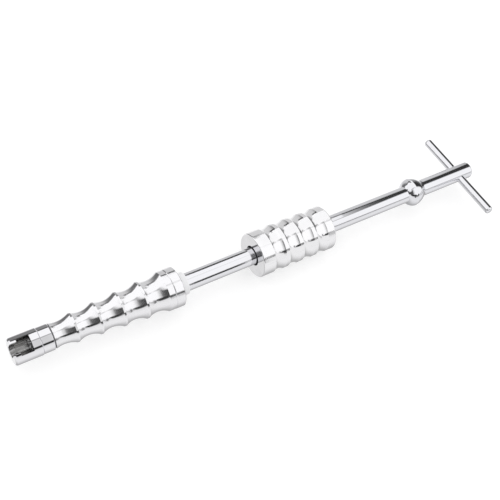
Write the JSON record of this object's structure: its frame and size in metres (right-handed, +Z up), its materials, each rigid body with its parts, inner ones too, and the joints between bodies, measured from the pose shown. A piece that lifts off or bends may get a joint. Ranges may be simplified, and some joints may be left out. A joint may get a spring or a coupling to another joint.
{
  "type": "slide hammer puller",
  "caption": "Slide hammer puller with a T-slotted claw head, a tapered finger grip, a sliding weight on a chromed rod, a domed stop and a cross bar.",
  "frame": {"origin": "on the rod's axis, in the plane of the claw head's front face", "axes": "+X along the rod from the claw head to the T-bar, T-bar along Y, +Z up as the tool lies; the claw's slot opens upwards and towards -Y"},
  "size_m": [0.4777, 0.101, 0.041],
  "materials": {
    "chrome": "polished",
    "rod_chrome": "polished",
    "grip_aluminium": "polished",
    "weight_steel": "satin",
    "pale_polymer": "matte",
    "dark_polymer": "matte"
  },
  "bodies": {
    "handle": {"claw_head": "chrome", "lock_ring": "chrome", "front_washer": "dark_polymer", "grip_sleeve": "grip_aluminium", "grip_end_cap": "grip_aluminium", "buffer": "pale_polymer", "slide_rod": "rod_chrome", "stop_shank": "rod_chrome", "t_bar": "rod_chrome"},
    "bushes": {"front_bush": "dark_polymer", "rear_bush": "dark_polymer"},
    "weight": {"slide_weight": "weight_steel"}
  },
  "joints": [
    {"name": "weight_slide", "type": "slide", "parent": "handle", "child": "bushes", "axis": [1, 0, 0], "range_m": [-0.0682, 0.0965]},
    {"name": "weight_spin", "type": "hinge", "parent": "bushes", "child": "weight", "pos_m": [0.2615, 0, 0], "axis": [1, 0, 0], "continuous": true}
  ]
}
